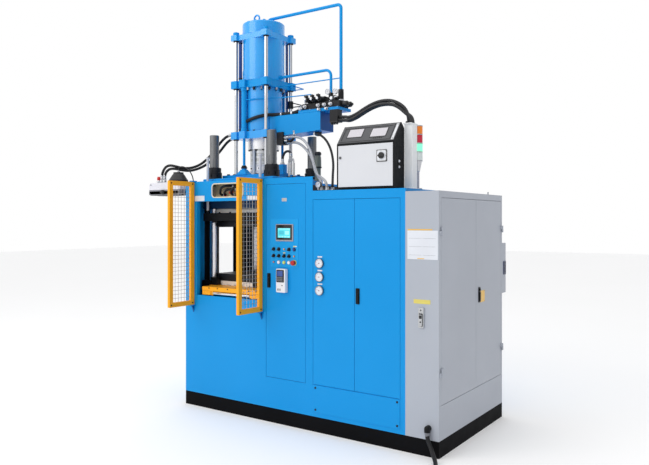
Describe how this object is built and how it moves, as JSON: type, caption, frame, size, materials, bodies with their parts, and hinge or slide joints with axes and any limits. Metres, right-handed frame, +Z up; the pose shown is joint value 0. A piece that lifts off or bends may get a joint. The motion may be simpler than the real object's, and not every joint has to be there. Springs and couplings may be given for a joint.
{
  "type": "vertical rubber injection moulding machine",
  "caption": "Floor-standing vertical injection moulding machine: four-column press with mesh guards, injection unit on top, control, hydraulic and electrical cabinets beside it.",
  "frame": {"origin": "centre of the plinth's underside, on the floor", "axes": "+X to the right along the front, +Y from front to rear, +Z up"},
  "size_m": [3.401, 1.997, 3.556],
  "materials": {
    "base_black": "satin",
    "machine_blue": "satin",
    "cabinet_grey": "satin",
    "guard_orange": "satin",
    "steel": "machined",
    "dark_steel": "blackened",
    "chrome": "polished",
    "black_paint": "satin",
    "light_plastic": "satin",
    "dark_plastic": "satin",
    "red_plastic": "gloss",
    "hose_rubber": "matte"
  },
  "bodies": {
    "root": {"base_frame": "base_black", "press_bed": "machine_blue", "clamp_cylinder": "machine_blue", "tie_bars": "dark_steel", "tie_bar_nuts": "dark_steel", "upper_platen": "machine_blue", "upper_heating_plate": "steel", "upper_adapter_plate": "dark_steel", "press_enclosure": "machine_blue", "control_column": "machine_blue", "hydraulic_cabinet": "machine_blue", "oil_tank": "machine_blue", "pump_motor": "black_paint", "electrical_cabinet": "cabinet_grey", "electrical_panel": "steel", "cooling_unit": "cabinet_grey", "console_housing": "black_paint", "cable_duct": "black_paint", "signal_tower": "light_plastic", "injection_base_plate": "machine_blue", "lift_rods": "chrome", "side_unit": "light_plastic", "conduit_bundle": "hose_rubber", "side_hoses": "hose_rubber", "grey_hoses": "hose_rubber", "drop_hose": "hose_rubber", "supply_cable": "hose_rubber", "supply_coil": "hose_rubber"},
    "clamp": {"clamp_ram": "chrome", "lower_platen": "machine_blue", "lower_heating_plate": "steel"},
    "table": {"slide_table": "guard_orange", "lower_adapter_plate": "dark_steel"},
    "mould_lift": {"lift_frame": "dark_steel"},
    "guard_l": {"guard_left": "guard_orange"},
    "guard_r": {"guard_right": "guard_orange"},
    "control_panel": {"control_door": "machine_blue", "hmi": "dark_plastic", "handset": "light_plastic", "control_switches": "dark_plastic"},
    "stop_button": {"emergency_stop": "red_plastic"},
    "door_left": {"cabinet_door_left": "machine_blue", "pressure_gauges": "dark_plastic"},
    "door_right": {"cabinet_door_right": "machine_blue"},
    "side_front": {"side_door_front": "cabinet_grey"},
    "side_rear": {"side_door_rear": "cabinet_grey"},
    "console_leaf": {"console_door": "cabinet_grey"},
    "switch_handle": {"main_switch": "dark_plastic"},
    "injection": {"guide_rods": "chrome", "cylinder_head": "machine_blue", "injection_cylinder": "machine_blue", "mid_plate": "machine_blue", "plasticizing_body": "machine_blue", "nozzle_barrel": "steel", "lift_cylinders": "machine_blue", "beam_arm": "machine_blue", "valve_manifold": "black_paint", "hydraulic_pipes": "machine_blue", "eyebolt": "machine_blue"},
    "plunger": {"injection_plunger": "chrome"}
  },
  "joints": [
    {"name": "clamp_slide", "type": "slide", "parent": "root", "child": "clamp", "axis": [0, 0, 1], "range_m": [0, 0.4]},
    {"name": "table_slide", "type": "slide", "parent": "clamp", "child": "table", "axis": [0, -1, 0], "range_m": [0, 0.28]},
    {"name": "mould_lift_slide", "type": "slide", "parent": "root", "child": "mould_lift", "axis": [0, 0, 1], "range_m": [-0.2, 0]},
    {"name": "guard_left_hinge", "type": "hinge", "parent": "root", "child": "guard_l", "pos_m": [-1.14, -0.64, 1.4], "axis": [0, 0, -1], "range_deg": [-90, 15]},
    {"name": "guard_right_hinge", "type": "hinge", "parent": "root", "child": "guard_r", "pos_m": [-0.351, -0.64, 1.4], "axis": [0, 0, 1], "range_deg": [-90, 15]},
    {"name": "control_door_hinge", "type": "hinge", "parent": "root", "child": "control_panel", "pos_m": [0.092, -0.61, 1.1], "axis": [0, 0, -1], "range_deg": [-90, 0]},
    {"name": "emergency_stop_push", "type": "slide", "parent": "control_panel", "child": "stop_button", "axis": [0, 1, 0], "range_m": [0, 0.006]},
    {"name": "cabinet_door_left_hinge", "type": "hinge", "parent": "root", "child": "door_left", "pos_m": [0.1765, -0.61, 1.1], "axis": [0, 0, -1], "range_deg": [0, 90]},
    {"name": "cabinet_door_right_hinge", "type": "hinge", "parent": "root", "child": "door_right", "pos_m": [0.932, -0.61, 1.1], "axis": [0, 0, 1], "range_deg": [0, 100]},
    {"name": "side_door_front_hinge", "type": "hinge", "parent": "root", "child": "side_front", "pos_m": [1.249, -0.581, 1.1], "axis": [0, 0, -1], "range_deg": [0, 110]},
    {"name": "side_door_rear_hinge", "type": "hinge", "parent": "root", "child": "side_rear", "pos_m": [1.249, 0.598, 1.1], "axis": [0, 0, 1], "range_deg": [0, 110]},
    {"name": "console_door_hinge", "type": "hinge", "parent": "root", "child": "console_leaf", "pos_m": [0.863, -0.593, 2.05], "axis": [0, 0, 1], "range_deg": [0, 100]},
    {"name": "main_switch_turn", "type": "hinge", "parent": "console_leaf", "child": "switch_handle", "pos_m": [0.777, -0.61, 2.121], "axis": [0, -1, 0], "range_deg": [0, 90]},
    {"name": "injection_lift", "type": "slide", "parent": "root", "child": "injection", "axis": [0, 0, 1], "range_m": [0, 0.2], "deforming": ["conduit_bundle", "side_hoses", "grey_hoses", "drop_hose"]},
    {"name": "plunger_slide", "type": "slide", "parent": "injection", "child": "plunger", "axis": [0, 0, 1], "range_m": [0, 0.3]}
  ]
}
